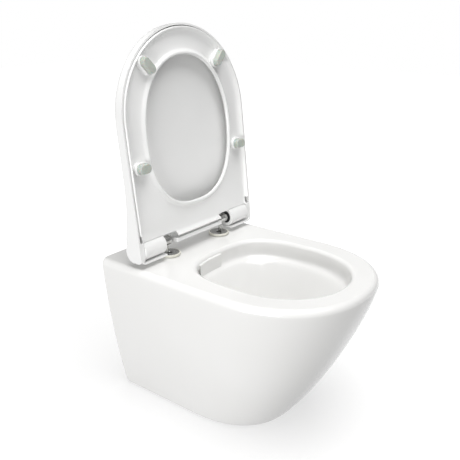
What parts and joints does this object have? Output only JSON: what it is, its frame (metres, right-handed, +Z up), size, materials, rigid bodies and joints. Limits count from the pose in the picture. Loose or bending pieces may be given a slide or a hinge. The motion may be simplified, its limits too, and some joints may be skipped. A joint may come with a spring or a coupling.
{
  "type": "wall hung toilet pan with seat",
  "caption": "Wall-hung rimless toilet pan with a wrap-over seat ring and cover on soft-close hinges, both shown raised.",
  "frame": {"origin": "on the wall plane, at the pan's flat rear face, midway between the two wall stud holes", "axes": "+Y into the wall, -Y out of the wall towards the user, +Z up, +X to the viewer's right when facing the pan"},
  "size_m": [0.355, 0.488, 0.7433],
  "materials": {
    "glazed_ceramic": "white gloss glaze",
    "seat_plastic": "white gloss thermoset",
    "buffer_rubber": "soft translucent grey",
    "chrome": "polished",
    "steel": "plain",
    "black_plastic": "moulded",
    "seal_rubber": "matt black",
    "nylon": "moulded"
  },
  "bodies": {
    "pan": {"pan": "glazed_ceramic", "hinge_gasket_left": "seal_rubber", "hinge_gasket_right": "seal_rubber", "hinge_rosette_left": "chrome", "hinge_rosette_right": "chrome", "hinge_post_left": "chrome", "hinge_post_right": "chrome", "damper_body_left": "black_plastic", "damper_body_right": "black_plastic", "hinge_bolt_left": "steel", "hinge_bolt_right": "steel", "hinge_anchor_left": "seal_rubber", "hinge_anchor_right": "seal_rubber", "stud_sleeve_left": "nylon", "stud_sleeve_right": "nylon", "flush_inlet_seal": "seal_rubber", "outlet_seal": "seal_rubber"},
    "ring": {"seat_ring": "seat_plastic", "ring_buffer_front_left": "buffer_rubber", "ring_buffer_front_right": "buffer_rubber", "ring_buffer_rear_left": "buffer_rubber", "ring_buffer_rear_right": "buffer_rubber", "damper_spindle_right": "nylon"},
    "cover": {"seat_cover": "seat_plastic", "cover_buffer_left": "buffer_rubber", "cover_buffer_right": "buffer_rubber", "damper_spindle_left": "nylon", "ear_bush_left": "nylon", "ear_bush_right": "nylon"}
  },
  "joints": [
    {"name": "ring_hinge", "type": "hinge", "parent": "pan", "child": "ring", "pos_m": [0, -0.0905, 0.1115], "axis": [1, 0, 0], "range_deg": [0, 96.5]},
    {"name": "cover_hinge", "type": "hinge", "parent": "ring", "child": "cover", "pos_m": [0, -0.0905, 0.1115], "axis": [-1, 0, 0], "range_deg": [0, 90]}
  ]
}
